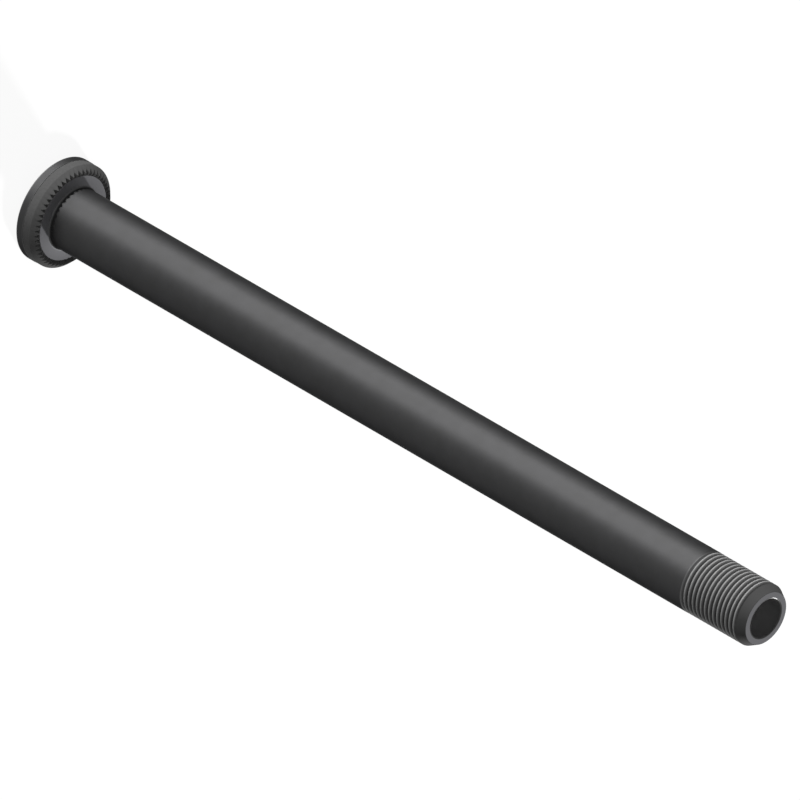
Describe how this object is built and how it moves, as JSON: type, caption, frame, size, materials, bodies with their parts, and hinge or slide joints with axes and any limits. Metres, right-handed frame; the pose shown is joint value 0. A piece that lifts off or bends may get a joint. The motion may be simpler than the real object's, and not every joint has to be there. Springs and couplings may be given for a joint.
{
  "type": "bicycle thru axle",
  "caption": "Hollow bicycle thru axle: flanged hex-socket head with a toothed grip ring, a long plain shank and a finely threaded, chamfered tip.",
  "frame": {"origin": "centre of the head's flat outer face, on which the axle stands", "axes": "+Z along the axle from the head to the threaded tip; +X through a corner of the hex socket and a gap between two teeth"},
  "size_m": [0.0203, 0.0202, 0.1767],
  "materials": {
    "anodised_axle": "black anodised, satin",
    "blackened_ring": "black oxide, matte"
  },
  "bodies": {
    "root": {"axle": "anodised_axle", "toothed_ring": "blackened_ring"}
  },
  "joints": []
}
